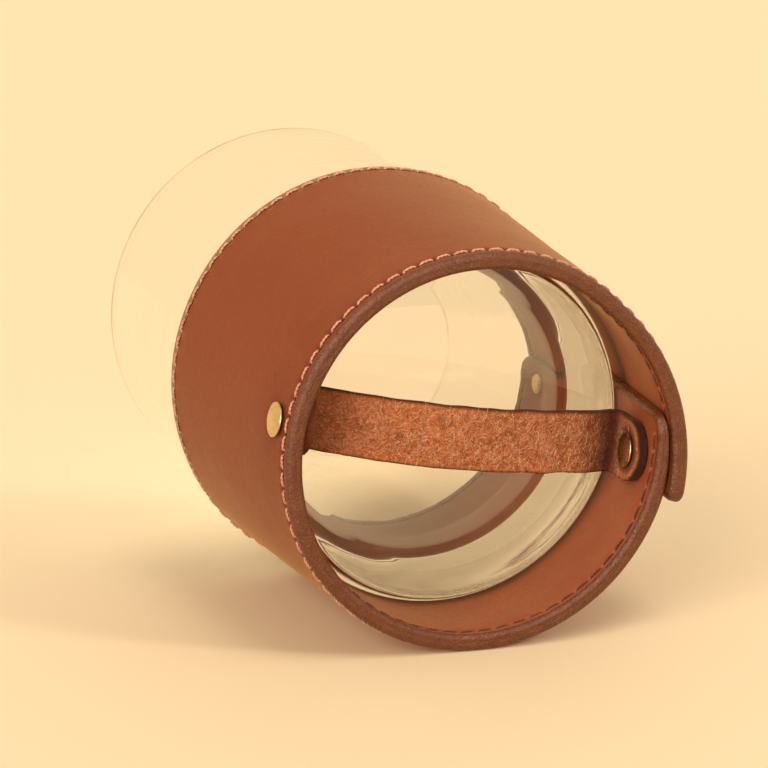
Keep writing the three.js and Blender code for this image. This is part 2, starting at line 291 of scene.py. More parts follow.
def ripple(seed, count, longest, shortest):
    """A smooth random surface of many waves, from -1 to 1 or so"""
    random = np.random.default_rng(seed)
    lengths = np.exp(random.uniform(math.log(shortest), math.log(longest), count))
    ways = random.uniform(0, turn, count)
    phases = random.uniform(0, turn, count)
    weights = lengths / lengths.max()
    weights /= math.sqrt((weights**2).sum())

    def height(u, v):
        waves = zip(lengths, ways, phases, weights)
        return sum(
            w * np.sin(turn * (u * math.cos(a) + v * math.sin(a)) / length + p)
            for length, a, p, w in waves
        )

    return height


def rounding(distance, radius):
    """How far a face drops where its edge is rounded, by the distance from the outline"""
    inside = np.clip(radius - distance, 0, radius)
    return radius - np.sqrt(radius**2 - inside**2)


def bell(distance, width):
    return np.exp(-((distance / width) ** 2))


def unit(vectors):
    return vectors / np.maximum(np.linalg.norm(vectors, axis=-1, keepdims=True), 1e-12)


def edge_steps(radius, count):
    return radius * (1 - np.cos(np.linspace(0, 90 * degree, count)))


def spans(start, *pairs):
    """Places from start on, in runs that each end at a place and have their own step"""
    places = [start]
    for end, step in pairs:
        count = max(round((end - places[-1]) / step), 1)
        places.extend(np.linspace(places[-1], end, count + 1)[1:])
    return np.array(places)


def ring_quads(rings, sides):
    """The faces between rings of points, each ring a closed loop"""
    i = np.arange(rings - 1)[:, None] * sides
    j = np.arange(sides)[None, :]
    k = (j + 1) % sides
    return np.stack([i + j, i + k, i + sides + k, i + sides + j], -1).reshape(-1, 4)


def tube_faces(starts, rings, sides):
    """The faces of closed tubes, each given by the number of its first point"""
    starts = np.array(starts)
    faces = (starts[:, None, None] + ring_quads(rings, sides)).reshape(-1, 4).tolist()
    for start in starts.tolist():
        for end in (start, start + (rings - 1) * sides):
            faces.append(list(range(end, end + sides)))
    return faces


def new_object(name, data):
    made = bpy.data.objects.new(name, data)
    bpy.context.scene.collection.objects.link(made)
    return made


def new_piece(name, points, faces, values):
    mesh = bpy.data.meshes.new(name)
    mesh.from_pydata(np.asarray(points).tolist(), [], faces)
    for attribute, data in values.items():
        layer = mesh.attributes.new(attribute, "FLOAT", "POINT")
        layer.data.foreach_set("value", np.asarray(data, np.float32))
    work = bmesh.new()
    work.from_mesh(mesh)
    bmesh.ops.recalc_face_normals(work, faces=work.faces)
    work.to_mesh(mesh)
    work.free()
    mesh.shade_smooth()
    return new_object(name, mesh)


def dress(piece, body, material, node):
    piece.data.materials.append(material)
    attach(piece, body)
    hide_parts(node)


# Materials, where a size is in metres, and a level or share runs from 0 to 1
class Nodes:
    """A tree of nodes, made by short calls that return sockets"""

    def __init__(self, owner, end):
        self.owner = owner
        owner.use_nodes = True
        self.tree = owner.node_tree
        self.tree.nodes.clear()
        self.end = self.node(end)

    def node(self, kind, inputs=None, **settings):
        node = self.tree.nodes.new("ShaderNode" + kind)
        for name, value in settings.items():
            setattr(node, name, value)
        for name, value in (inputs or {}).items():
            if isinstance(value, bpy.types.NodeSocket):
                self.tree.links.new(value, node.inputs[name])
            else:
                node.inputs[name].default_value = value
        return node

    def place(self, stretch=(1, 1, 1)):
        where = self.node("TexCoord").outputs["Object"]
        return self.node("Mapping", {"Vector": where, "Scale": stretch}).outputs[0]

    def value(self, name):
        return self.node("Attribute", attribute_name=name).outputs["Fac"]

    def height(self, where):
        return self.node("SeparateXYZ", {0: where}).outputs[2]

    def math(self, operation, a, b):
        return self.node("Math", {0: a, 1: b}, operation=operation).outputs[0]

    def times(self, a, b):
        return self.math("MULTIPLY", a, b)

    def remap(self, value, low, high, to_low=0.0, to_high=1.0, **settings):
        names = ("Value", "From Min", "From Max", "To Min", "To Max")
        inputs = dict(zip(names, (value, low, high, to_low, to_high)))
        return self.node("MapRange", inputs, **settings).outputs["Result"]

    def noise(self, where, size, detail=3.0, roughness=0.5, distortion=0.0):
        names = ("Vector", "Scale", "Detail", "Roughness", "Distortion")
        inputs = dict(zip(names, (where, 1 / size, detail, roughness, distortion)))
        return self.node("TexNoise", inputs).outputs["Fac"]

    def cells(self, where, size):
        return self.node("TexVoronoi", {"Vector": where, "Scale": 1 / size}).outputs["Distance"]

    def curls(self, where, size, twist, width):
        """Thin winding lines, where a soft noise crosses its middle"""
        level = self.math("SUBTRACT", self.noise(where, size, 1.5, 0.5, twist), 0.5)
        return self.remap(self.math("ABSOLUTE", level, 0.0), 0.0, width, 1.0, 0.0)

    def rings(self, around):
        """Coordinates that change slowly round the cup's axis and quickly across it"""
        where = self.node("TexCoord").outputs["Object"]
        flat = {0: where, 1: tuple(axis)}
        flat = self.node("VectorMath", flat, operation="SUBTRACT").outputs[0]
        x, y, z = self.node("SeparateXYZ", {0: flat}).outputs[:3]
        squares = self.math("ADD", self.times(x, x), self.times(y, y))
        across = self.math("ADD", self.math("POWER", squares, 0.5), z)
        inputs = {0: self.times(x, around), 1: self.times(y, around), 2: across}
        return self.node("CombineXYZ", inputs).outputs[0]

    def mix(self, share, a, b):
        return self.node("Mix", {0: share, 6: a, 7: b}, data_type="RGBA").outputs[2]

    def layers(self, colour, *layers):
        """A colour with others laid over it in turn, each by its share"""
        for share, over in layers:
            colour = self.mix(share, colour, over)
        return colour

    def bump(self, height, distance, normal=None):
        inputs = {"Height": height, "Distance": distance}
        if normal is not None:
            inputs["Normal"] = normal
        return self.node("Bump", inputs).outputs[0]

    def principled(self, **inputs):
        named = {name.replace("_", " "): value for name, value in inputs.items()}
        return self.node("BsdfPrincipled", named).outputs[0]

    def finish(self, surface):
        self.tree.links.new(surface, self.end.inputs["Surface"])
        return self.owner

    def opaque(self, **inputs):
        return self.finish(self.principled(**inputs))


def shader(name):
    return Nodes(bpy.data.materials.new(name), "OutputMaterial")


def rgb(red, green, blue):
    return (red, green, blue, 1.0)


def edge_paint():
    """The dark, glossy paint on the cut edges, with pale specks as painted highlights and a
    painted reflection that lightens it along the upper edge
    """
    s = shader("edge_paint")
    where = s.place()
    colour = s.layers(
        rgb(0.12, 0.022, 0.0015),
        (s.remap(s.noise(where, 0.003), 0.35, 0.7), rgb(0.16, 0.035, 0.003)),
        # Painted reflection: lighter paint along the upper edge, which is seen edge-on
        (s.remap(s.height(where), far_band_start, far_band_end), rgb(0.34, 0.12, 0.026)),
        (s.remap(s.noise(where, 0.0004, 2.0), 0.55, 0.72, 0.0, 0.6), rgb(0.07, 0.016, 0.003)),
        # Painted highlights: pale specks on the paint
        (s.remap(s.noise(where, 0.00035, 1.0), 0.64, 0.73, 0.0, 0.3), rgb(0.4, 0.26, 0.2)),
    )
    return s.opaque(
        Base_Color=colour,
        Roughness=s.remap(s.noise(where, 0.0007, 2.0), 0.3, 0.7, 0.2, 0.36),
        Normal=s.bump(s.noise(where, 0.0005, 3.0, 0.6), 0.0003),
        Specular_IOR_Level=0.5,
    )


def leather(name, base, deep, light, inside, rough, specular, shade_by_glass):
    """Grain leather, darker at its edges and rivets, with painted shade in its stitch holes and
    beside the glass's base, and painted lighter further in as painted light
    """
    s = shader(name)
    where = s.place()
    z = s.height(where)
    grain = s.remap(s.noise(where, 0.0006, 3.0, 0.6), 0.3, 0.7)
    # Where the painted shade beside the glass's base lies, by height
    below = s.remap(z, by_glass_start, heel_top)
    above = s.remap(z, heel_top, by_glass_end, shade_by_glass, 0.0)
    colour = s.layers(
        base,
        (s.remap(s.noise(where, 0.03, 4.0, 0.55), 0.34, 0.66), light),
        (s.remap(s.noise(where, 0.006, 2.0), 0.36, 0.68, 0.0, 0.25), deep),
        (s.times(grain, 0.35), deep),
        # Painted light: from half the height of the glass's base upwards the colour turns towards
        # the inside colour, lighter and redder on the lining, which is seen there through the
        # glass
        (s.remap(z, recess / 2, recess * 1.4, 0.0, 0.8), inside),
        (s.remap(s.value("from_edge"), edge_round, edge_round * 4, 0.35, 0.0), deep),
        (s.value("press"), deep),
        # Painted shade: a dark band on the lining beside the glass's base
        (s.times(s.times(below, below), above), rgb(0.035, 0.006, 0.002)),
        # Painted shade in the stitch holes
        (s.value("hole"), rgb(0.02, 0.005, 0.003)),
    )
    bump = s.bump(s.remap(s.cells(where, 0.0008), 0.0, 0.55), 0.00002)
    bump = s.bump(s.noise(where, 0.007, 2.0), 0.00008, bump)
    bump = s.bump(grain, 0.00002, bump)
    return s.opaque(
        Base_Color=colour,
        Roughness=s.remap(s.noise(where, 0.001), 0.3, 0.7, *rough),
        Normal=bump,
        Specular_IOR_Level=specular,
        Sheen_Weight=0.3,
        Sheen_Roughness=0.28,
        Sheen_Tint=rgb(1.0, 0.55, 0.16),
    )


def suede():
    """The strap's flesh side, with short fibres lying every way, painted shade and a painted
    shadow round the rivet's cap
    """
    s = shader("flesh_side")
    where = s.place()
    fuzz = s.noise(where, 0.0005, 3.0, 0.6, 1.0)
    tuft = s.noise(where, 0.0022, 3.0, 0.6, 1.2)
    curls = s.curls(where, 0.0016, 1.2, 0.03)
    nap = s.value("nap")
    edge = s.remap(s.value("from_edge"), 0.0, strap_round * 1.2, 1.0, 0.0)
    colour = s.layers(
        rgb(0.33, 0.068, 0.0155),
        (s.remap(s.noise(where, 0.011), 0.34, 0.68), rgb(0.43, 0.11, 0.028)),
        (s.remap(fuzz, 0.4, 0.7, 0.0, 0.3), rgb(0.8, 0.24, 0.06)),
        (s.remap(tuft, 0.48, 0.66, 0.0, 0.4), rgb(0.25, 0.042, 0.008)),
        (s.times(curls, 0.4), rgb(0.95, 0.42, 0.16)),
        (nap, rgb(1.0, 0.56, 0.28)),
        (s.times(nap, -0.8), rgb(0.13, 0.02, 0.004)),
        # painted shade on the strap
        (s.value("painted_shade"), rgb(0.08, 0.012, 0.003)),
        (edge, rgb(0.04, 0.01, 0.004)),
        # painted shadow round the rivet's cap
        (s.value("dark_round_rivet"), rgb(0.07, 0.015, 0.005)),
    )
    return s.opaque(
        Base_Color=colour,
        Roughness=0.85,
        Normal=s.bump(tuft, 0.00025, s.bump(fuzz, 0.00014)),
        Specular_IOR_Level=0.2,
        Sheen_Weight=0.12,
        Sheen_Roughness=0.5,
        Sheen_Tint=rgb(1.0, 0.55, 0.28),
    )


def waxed_thread(name, light, dark, sunk):
    s = shader(name)
    where = s.place()
    fibre = s.noise(where, 0.00022)
    colour = s.layers(
        light,
        (s.remap(fibre, 0.35, 0.7), dark),
        (s.remap(s.noise(where, 0.006, 2.0), 0.4, 0.75, 0.0, 0.4), dark),
        # The sunk ends: painted shade on the outer thread, a colour near the lining's on the
        # bobbin thread
        (s.value("sunk"), sunk),
    )
    return s.opaque(
        Base_Color=colour,
        Roughness=0.6,
        Normal=s.bump(fibre, 0.00006),
        Specular_IOR_Level=0.2,
    )


def aged_brass():
    s = shader("aged_brass")
    scuff = s.noise(s.place((1, 1, 6)), 0.0006, 4.0, 0.7)
    tarnish = s.remap(s.noise(s.place(), 0.0024, 4.0, 0.6), 0.4, 0.72, 0.0, 0.5)
    colour = s.layers(
        rgb(0.72, 0.56, 0.3),
        (tarnish, rgb(0.46, 0.31, 0.11)),
        # darker towards the foot of the rim
        (s.value("rim_foot_dark"), rgb(0.07, 0.035, 0.012)),
    )
    return s.opaque(
        Base_Color=colour,
        Metallic=1.0,
        Roughness=s.remap(scuff, 0.3, 0.7, 0.2, 0.36),
        Normal=s.bump(scuff, 0.000012),
    )


def clear_glass():
    """Clear glass with faint draw lines, painted refraction streaks in its heel and a painted dark
    reflection on its lip
    """
    s = shader("clear_glass")
    draw_lines = s.noise(s.place((0.12, 0.12, 1)), 0.0012, 3.0, 0.6)
    painted_streaks = s.times(s.noise(s.rings(0.1), 0.0006, 3.0, 0.6), s.value("heel"))
    patchy = s.remap(s.noise(s.place(), 0.025, 2.0), 0.36, 0.62, 0.3, 1.0)
    colour = s.layers(
        rgb(0.995, 0.992, 0.975),
        # Painted refraction streaks in the heel
        (s.remap(painted_streaks, 0.42, 0.6, 0.0, 0.5), rgb(0.62, 0.5, 0.34)),
        # Painted dark reflection along the lip, patchy
        (s.times(s.value("lip"), patchy), rgb(0.3, 0.17, 0.08)),
    )
    glass = s.principled(
        Base_Color=colour,
        Roughness=0.0,
        IOR=1.51,
        Normal=s.bump(draw_lines, 0.000018),
        Transmission_Weight=1.0,
    )
    shadow = s.node("BsdfTransparent", {"Color": rgb(0.93, 0.94, 0.92)}).outputs[0]
    ray = s.node("LightPath").outputs["Is Shadow Ray"]
    inside = s.node("VolumeAbsorption", {"Color": rgb(0.42, 0.34, 0.22), "Density": 5.0})
    s.tree.links.new(inside.outputs[0], s.end.inputs["Volume"])
    return s.finish(s.node("MixShader", {0: ray, 1: glass, 2: shadow}).outputs[0])


# Glass
def arc(middle, radius, start, end):
    count = max(math.ceil(abs(end - start) * radius / arc_step), arc_least_steps)
    angles = np.linspace(start, end, count + 1)
    return [(middle[0] + radius * math.cos(a), middle[1] + radius * math.sin(a)) for a in angles]


def bend(a, b, c, t):
    """Points of a smooth bend from a to c that heads for b, by their shares of the way"""
    return (1 - t) ** 2 * a + 2 * t * (1 - t) * b + t**2 * c


def curve(a, b, c):
    a, b, c = np.array(a), np.array(b), np.array(c)
    t = np.linspace(0, 1, math.ceil(np.linalg.norm(c - a) / arc_step) + 1)[:, None]
    return list(bend(a, b, c, t))


def straight(a, b):
    a, b = np.array(a), np.array(b)
    t = np.linspace(0, 1, math.ceil(np.linalg.norm(b - a) / wall_step) + 1)[1:-1, None]
    return list(a + (b - a) * t)


def glass_section():
    """The outside from the middle of the underside to the lip, and the inside back down"""
    height = rim_height - recess
    lip = glass_lip / 2
    foot = glass_base_radius - glass_wall
    inner_flare = (glass_rim_radius - glass_lip - foot) / (height - heel_radius)
    inner_wall = lambda z: foot + inner_flare * (z - heel_radius)
    quarter = 90 * degree
    bowl_slope = math.asin(bowl_edge / bowl_radius)
    heel_x = bowl_edge - inner_heel_radius * math.sin(bowl_slope)
    bowl_top = glass_floor + bowl_radius * (1 - math.cos(bowl_slope))
    heel_y = bowl_top + inner_heel_radius * math.cos(bowl_slope)
    end_x = heel_x + inner_heel_radius * math.sin(inner_heel_slope)
    end_y = heel_y - inner_heel_radius * math.cos(inner_heel_slope)
    closing = math.cos(inner_heel_slope) - inner_flare * math.sin(inner_heel_slope)
    along = (inner_wall(end_y) - end_x) / closing
    meet = (end_x + along * math.cos(inner_heel_slope), end_y + along * math.sin(inner_heel_slope))
    eased = (inner_wall(meet[1] + wall_ease), meet[1] + wall_ease)

    heel = (glass_base_radius - heel_radius, heel_radius)
    outside = curve((0, punt_depth), (punt_radius / 2, punt_depth), (punt_radius, 0))
    outside += straight((punt_radius, 0), (heel[0], 0))
    outside += arc(heel, heel_radius, -quarter, 0)
    outside += straight((glass_base_radius, heel_radius), (glass_rim_radius, height - lip))
    lip_middle = (glass_rim_radius - lip, height - lip)
    outside += arc(lip_middle, lip, 0, quarter)
    inside = arc(lip_middle, lip, quarter, 2 * quarter)[1:]
    inside += straight((glass_rim_radius - glass_lip, height - lip), eased)
    inside += curve(eased, meet, (end_x, end_y))
    heel_turn = (inner_heel_slope - quarter, bowl_slope - quarter)
    inside += arc((heel_x, heel_y), inner_heel_radius, *heel_turn)[1:]
    bowl = (0, glass_floor + bowl_radius)
    inside += arc(bowl, bowl_radius, bowl_slope - quarter, -quarter)[1:]
    return np.array(outside), np.array(inside)


def lathe(section, segments):
    """A turned solid about Z, whose section starts and ends on the axis"""
    rings = section[1:-1]
    around = np.linspace(0, turn, segments, endpoint=False)
    r, z = rings[:, :1], rings[:, 1:]
    points = np.stack([r * np.cos(around), r * np.sin(around), z + 0 * around], -1)
    points = points.reshape(-1, 3)
    faces = ring_quads(len(rings), segments).tolist()
    first, last = len(points), len(points) + 1
    ends = [[0, 0, section[0, 1]], [0, 0, section[-1, 1]]]
    far = (len(rings) - 1) * segments
    for i in range(segments):
        j = (i + 1) % segments
        faces.append([first, i, j])
        faces.append([last, far + i, far + j])
    return np.concatenate([points, ends]), faces


def make_glass():
    """The tumbler, whose inside is faintly wavy as pressed glass is"""
    outside, inside = glass_section()
    section = np.concatenate([outside, inside])
    points, faces = lathe(section, glass_segments)
    section = section[1:-1]
    body = points[:-2].reshape(len(section), glass_segments, 3)
    turned_in = body[len(outside) - 1 : -1]
    around = np.linspace(0, turn, glass_segments, endpoint=False)
    length = np.cumsum(np.linalg.norm(np.diff(inside, axis=0), axis=1))[:-1, None]
    r = np.hypot(turned_in[..., 0], turned_in[..., 1])
    u, v = wave_stretch * r * np.cos(around), wave_stretch * r * np.sin(around)
    wave = ripple(*glass_waves)(u + wave_slant * length, v + length)
    push = wave_depth * wave * np.clip(length / wave_fade, 0, 1)
    step = unit(np.gradient(inside[1:-1], axis=0))
    across = np.stack([-step[:, 1], step[:, 0]], 1)
    turned_in[..., 0] += push * across[:, :1] * np.cos(around)
    turned_in[..., 1] += push * across[:, :1] * np.sin(around)
    turned_in[..., 2] += push * across[:, 1:]
    points = points + np.array([axis.x, axis.y, recess])
    # Masks for the painted dark reflection on the lip and the painted refraction streaks in the
    # heel
    lip = np.array([glass_rim_radius, rim_height - recess - glass_lip / 2])
    low = np.clip((heel_streaks - section[:, 1]) / inner_heel_radius, 0, 1)
    wide = np.clip((section[:, 0] - bowl_edge) / heel_radius, 0, 1)
    values = {"lip": bell(np.linalg.norm(section - lip, axis=1), lip_line), "heel": low * wide}
    for name, ring in values.items():
        values[name] = np.append(np.repeat(ring, glass_segments), [0, 0])
    piece = new_piece("glass", points, faces, values)
    dress(piece, "glass", clear_glass(), "glass_tumbler")


# Rivets
rivets = {
    "front": (front_angle, front_rivet_height),
    "rear": (rear_angle, rear_rivet_height),
    "seam": (seam_angle, sleeve_height - seam_rivet_drop),
}


def rivet_matrix(angle, z):
    """Z of the rivet's own frame runs outwards along its post, square to the flaring wall"""
    out = Vector((math.cos(cone_angle), 0, -math.sin(cone_angle)))
    side = Vector((0, 1, 0))
    tilt = Matrix((out.cross(side) * -1, side, out)).transposed().to_4x4()
    foot = Matrix.Translation((lining_face(z), 0, z))
    return Matrix.Translation(axis) @ Matrix.Rotation(angle, 4, "Z") @ foot @ tilt


def reach_of(node, matrix):
    """How far a solid reaches along the rivet's post, in both directions"""
    back = matrix.inverted()
    heights = [(back @ v.co).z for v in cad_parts[node].data.vertices]
    return min(heights), max(heights)


def cap_section(height, radius):
    """A low dome with a rolled rim, from the middle of its underside to its top"""
    rim = height * cap_rim_share
    a = np.linspace(-90, 90, cap_roll_steps) * degree
    roll = rim / 2
    rolled = [(radius - roll + roll * math.cos(t), roll + roll * math.sin(t)) for t in a]
    shoulder = rolled[-1][0]
    r = shoulder * (1 - np.linspace(0, 1, cap_dome_steps)[1:])
    top = rim + (height - rim) * (1 - (r / shoulder) ** cap_dome_power)
    return np.array([(0, 0.0)] + rolled + list(zip(r, top)))


def make_rivets(brass):
    for name, (angle, z) in rivets.items():
        matrix = rivet_matrix(angle, z)
        cap_low, cap_high = reach_of(name + "_rivet_cap", matrix)
        height = cap_high - cap_low
        for kind in ("cap", "post"):
            node = name + "_rivet_" + kind
            small = name == "seam" and kind == "post"
            radius = seam_head_radius if small else cap_radius
            points, faces = lathe(cap_section(height, radius), rivet_segments)
            rim = np.hypot(points[:, 0], points[:, 1]) / radius
            rim_foot_dark = np.clip((rim - rim_foot_dark_start) / rim_foot_dark_width, 0, 1)
            rim_foot_dark *= np.clip(1 - points[:, 2] / rim_foot_dark_height, 0, 1)
            if kind == "cap":
                points[:, 2] += cap_low
            else:
                points[:, 2] = reach_of(node, matrix)[0] + height - points[:, 2]
            placed = [matrix @ Vector(p) for p in points]
            piece = new_piece(name + "_" + kind, placed, faces, {"rim_foot_dark": rim_foot_dark})
            dress(piece, "sleeve", brass, node)


# Sleeve
def arc_length(angles, z, face):
    """Distance along the wall at each angle, at one height"""
    r = lining_face(z) + wall_rise(angles) + face(angles)
    pieces = (r[1:] + r[:-1]) / 2 * np.diff(angles)
    return np.concatenate([[0], np.cumsum(pieces)])


def stitch_places(z, face, side):
    """The angles of the holes of one row, evenly spaced along the wall"""
    margin = stitch_end_margin / wall_radius
    start = inner_end + (lap_span if side > 0 else 0) + margin
    angles = np.arange(start, flap_tip - margin, column_step / wall_radius)
    length = arc_length(angles, z, face)
    count = round(length[-1] / stitch_length)
    return np.interp(np.linspace(0, length[-1], count + 1), length, angles)


def stitch_marks(angle, z, face, side):
    """How far the thread pulls the leather in at each point, and the painted shade of each hole
    there
    """
    pull = np.zeros_like(z)
    dark = np.zeros_like(z)
    for height in stitch_heights.values():
        holes = stitch_places(height, face, side)
        inside = (angle > holes[0]) & (angle < holes[-1])
        near = np.abs(angle[:, None] - holes).min(1, keepdims=True)
        along = near * wall_radius / hole_radius
        across = (z - height) / hole_radius
        hole = np.exp(-(along**2) - across**2)
        groove = bell(z - height, groove_width) * inside[:, None]
        pull += hole_depth * hole + groove_depth * groove
        # Painted shade: each hole is painted dark
        dark += np.clip(hole_dark * np.exp(-(along**2 + across**2) * hole_fade), 0, 1)
    return pull, np.clip(dark, 0, 1)


def rivet_dents(angle, z, outward):
    """How far the leather is pressed in around each rivet, and how dark it is there"""
    dent = np.zeros_like(z)
    dark = np.zeros_like(z)
    for name, (at, height) in rivets.items():
        swing = at + (turn if outward or name == "front" else 0)
        away = np.hypot((angle[:, None] - swing) * wall_radius, z - height)
        pocket = name == "seam" and not outward
        depth = pocket_depth if pocket else dent_depth
        soft = pocket_soft if pocket else dent_soft
        radius = seam_head_radius if pocket else cap_radius
        dent += depth * bell(np.clip(away - radius, 0, None), soft)
        dark += press_dark * bell(away, press_width)
    return dent, dark


def half_rows():
    fine = edge_steps(edge_round, edge_points)
    rest = spans(edge_round, *wall_rows)
    return np.concatenate([fine, rest[1:]])


def wall_columns():
    fine = edge_steps(edge_round, edge_points) / wall_radius
    first, last = inner_end + fine[-1], flap_tip - fine[-1]
    middle = spans(first, (last, column_step / wall_radius))
    return np.concatenate([inner_end + fine[:-1], middle, (flap_tip - fine[:-1])[::-1]])


def from_outline(angle, height):
    """Heights above the edge and its rounded corners, and distances from the whole outline"""
    reach = np.zeros_like(height)
    ends = []
    for end, radius in ((inner_end, inner_corner_radius), (flap_tip, flap_corner_radius)):
        away = np.abs(angle - end)[:, None] * wall_radius
        reach += rounding(away, radius)
        ends.append((away, radius))
    half = sleeve_height / 2
    actual = reach + height * (half - reach) / half
    distance = actual.copy()
    for away, radius in ends:
        corner = radius - np.hypot(radius - away, radius - actual)
        in_corner = (away < radius) & (actual < radius)
        distance = np.where(in_corner, corner, np.minimum(distance, away + 0 * actual))
    return actual, np.clip(distance, 0, None)


def make_layer(name, node, face, side, material, paint):
    """One layer of the wall: a fine face that shows, cut edges, and a plain glued face"""
    angle = wall_columns()
    rows = half_rows()
    height, distance = from_outline(angle, np.tile(rows, (len(angle), 1)))
    z = np.concatenate([height, (sleeve_height - height)[:, ::-1][:, 1:]], 1)
    distance = np.concatenate([distance, distance[:, ::-1][:, 1:]], 1)
    z_low, z_high = z[:, :1], z[:, -1:]

    swell = ripple(*leather_swell)
    along = angle[:, None] * wall_radius
    pull, dark = stitch_marks(angle, z, face, side)
    dents, dark_round_rivet = rivet_dents(angle, z, side > 0)
    pull += dents
    away_from_edge = np.clip(distance / swell_fade, 0, 1)
    thickness = outer_layer(angle) if side > 0 else lining_thickness + 0 * angle
    round_here = np.clip(edge_share * thickness, 0, edge_round)[:, None]
    offset = face(angle)[:, None] - side * (rounding(distance, round_here) + pull)
    offset -= side * swell_depth * np.clip(2 + swell(along, z), 0, None) * away_from_edge
    shown = wall_points(angle[:, None], offset, z)

    back = lining_thickness + glue_line / 2
    cut = lambda edge: (1 - cut_shares) * edge + cut_shares * back
    ragged = ripple(*ragged_cut)
    upper = wall_points(angle[:, None], cut(offset[:, -1:]), z_high + 0 * cut_shares)
    lower = wall_points(angle[:, None], cut(offset[:, :1])[:, ::-1], z_low + 0 * cut_shares)
    for strip, way in ((upper, 1), (lower, -1)):
        rough = np.clip(1 + ragged(along, cut_shares * outer_thickness), 0, None)
        strip[..., 2] -= way * ragged_depth * rough
    plain = z_high + (z_low - z_high) * np.linspace(0, 1, plain_rows)
    hidden = wall_points(angle[:, None], back + 0 * plain, plain)
    rings = np.concatenate([shown, upper, hidden, lower], 1)
    columns, size = rings.shape[:2]
    faces = tube_faces([0], columns, size)
    plain_part = np.zeros((columns, size - distance.shape[1]))
    wide = np.clip((z - far_band_start) / (far_band_end - far_band_start), 0, 1) * (side > 0)
    reach = near_paint_reach + (far_paint_reach - near_paint_reach) * wide
    whole = lambda part: np.concatenate([part, plain_part], 1)
    hole_share = 1 if side > 0 else inner_hole_dark
    values = {"from_edge": distance, "hole": dark * hole_share, "press": dark_round_rivet}
    values = {key: whole(part).ravel() for key, part in values.items()}
    piece = new_piece(name, rings.reshape(-1, 3), faces, values)
    painted = whole(distance / reach)
    around = np.roll(painted, -1, 1)
    painted = (painted[:-1] + painted[1:] + around[:-1] + around[1:]) / 4 < 1
    painted = np.append(painted.ravel(), [True, True])
    dress(piece, "sleeve", material, node)
    piece.data.materials.append(paint)
    piece.data.polygons.foreach_set("material_index", painted.astype(np.int32))


def make_thread(name, node, z, face, side, material, top):
    """One row of stitches, each a twisted cord that rises out of one hole into the next"""
    holes = stitch_places(z, face, side)
    t = np.linspace(0, 1, strand_rings)
    angle = holes[:-1, None] + (holes[1:] - holes[:-1])[:, None] * t
    lift = top - stitch_dip * np.abs(2 * t - 1) ** stitch_dip_power
    offset = face(angle) + side * lift
    toward_edge = -1 if z < sleeve_height / 2 else 1
    arch = toward_edge * stitch_arch * np.sin(math.pi * t)
    height = z + arch + stitch_slant * (t - 0.5) + 0 * angle
    middle = wall_points(angle, offset, height)
    out = np.stack([np.cos(angle), np.sin(angle), 0 * angle], -1) * side
    tangent = unit(np.gradient(middle, axis=1))
    across = unit(np.cross(tangent, out))
    out = np.cross(across, tangent)
    run = (angle - holes[0]) * wall_radius
    sides = np.arange(strand_sides)[:, None] * turn / strand_sides
    ring = np.cos(sides) * out[:, :, None, :] + np.sin(sides) * across[:, :, None, :]
    tubes = []
    for strand in range(strands):
        phase = turn * (run / strand_pitch + strand / strands)
        swing = np.cos(phase)[..., None] * out + np.sin(phase)[..., None] * across
        line = middle + strand_orbit * swing
        tubes.append(line[:, :, None, :] + strand_radius * ring)
    block = strand_rings * strand_sides
    tubes = np.stack(tubes, 1).reshape(-1, block, 3)
    faces = tube_faces(np.arange(len(tubes)) * block, strand_rings, strand_sides)
    sunk = np.clip((np.abs(2 * t - 1) - sunk_start) / sunk_width, 0, 1)
    sunk = np.tile(np.repeat(sunk, strand_sides), len(tubes))
    piece = new_piece(name, tubes.reshape(-1, 3), faces, {"sunk": sunk})
    dress(piece, "sleeve", material, node)


def make_sleeve():
    outer = leather(
        "outer_leather",
        base=rgb(0.225, 0.0385, 0.009),
        deep=rgb(0.172, 0.0255, 0.0055),
        light=rgb(0.26, 0.05, 0.0125),
        inside=rgb(0.232, 0.039, 0.0078),
        rough=(0.38, 0.46),
        specular=0.12,
        shade_by_glass=0.0,
    )
    lining = leather(
        "lining_leather",
        base=rgb(0.34, 0.071, 0.0175),
        deep=rgb(0.24, 0.044, 0.011),
        light=rgb(0.4, 0.1, 0.03),
        # the lining's inside colour, a painted light
        inside=rgb(0.42, 0.085, 0.015),
        rough=(0.42, 0.56),
        specular=0.28,
        shade_by_glass=0.9,
    )
    paint = edge_paint()
    make_layer("outer_layer", "sleeve_outer", outer_face, 1, outer, paint)
    make_layer("lining", "sleeve_lining", inner_face, -1, lining, paint)
    # The outer thread's sunk ends are painted dark, a painted shade where the cord dives into its
    # holes
    pink, rosy, sunk = rgb(0.9, 0.47, 0.28), rgb(0.46, 0.16, 0.075), rgb(0.03, 0.009, 0.005)
    pink = waxed_thread("stitch_thread", pink, rosy, sunk)
    dull, dark, sunk = rgb(0.2, 0.05, 0.02), rgb(0.05, 0.014, 0.007), rgb(0.32, 0.075, 0.026)
    dull = waxed_thread("bobbin_thread", dull, dark, sunk)
    for edge, z in stitch_heights.items():
        outside, inside = edge + "_stitch_thread", edge + "_bobbin_thread"
        make_thread(edge + "_stitches", outside, z, outer_face, 1, pink, stitch_top)
        make_thread(edge + "_bobbin_stitches", inside, z, inner_face, -1, dull, bobbin_top)


# Strap
def strap_face(z):
    return lining_face(z) - fit_gap - strap_thickness / 2


front_bend = recess - strap_to_glass_front - strap_thickness / 2
rear_bend = recess - strap_to_glass_rear - strap_thickness / 2
front_reach = strap_face(front_bend)
rear_reach = strap_face(rear_bend)


def bow_height(reach):
    along = (reach + front_reach) / (front_reach + rear_reach)
    straight = front_bend + (rear_bend - front_bend) * along
    return straight - strap_bow * np.sin(math.pi * along)


